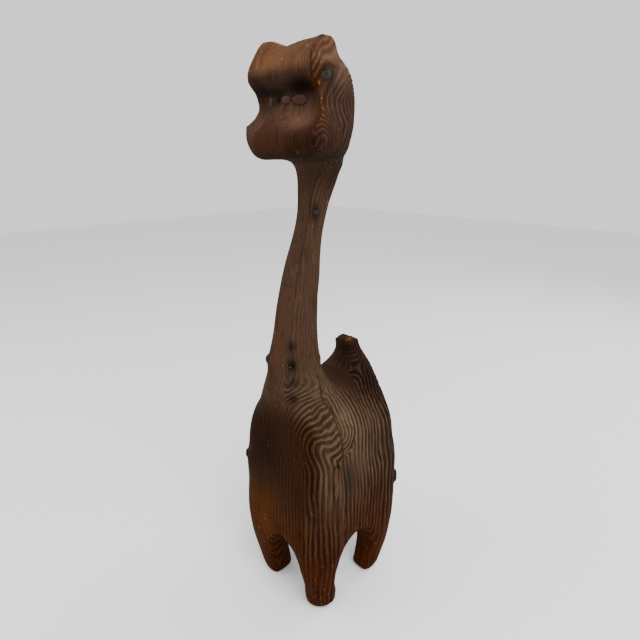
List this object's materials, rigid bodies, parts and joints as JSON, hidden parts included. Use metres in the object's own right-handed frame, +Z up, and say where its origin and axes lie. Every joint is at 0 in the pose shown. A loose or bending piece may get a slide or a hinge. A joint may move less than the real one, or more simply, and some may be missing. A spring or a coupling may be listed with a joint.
{
  "type": "carved giraffe statue",
  "caption": "Floor-standing stylised giraffe carved from one squared softwood log, dark stained and wire-brushed, on four short legs.",
  "frame": {"origin": "floor level, under the centre of the bounding box", "axes": "+Z up along the log; the giraffe faces -Y, its left side is +X"},
  "size_m": [0.223, 0.256, 1],
  "materials": {
    "log_wood": "satin",
    "knot_wood": "satin",
    "pitch": "satin"
  },
  "bodies": {
    "root": {"carved_log": "log_wood", "left_eye_knot": "knot_wood", "left_eye_inner_knot": "knot_wood", "right_eye_knot": "knot_wood", "temple_knot": "knot_wood", "neck_knot": "knot_wood", "chest_knot": "knot_wood", "shoulder_knot": "knot_wood", "rump_knot": "knot_wood", "flank_pitch_streak": "pitch"}
  },
  "joints": []
}
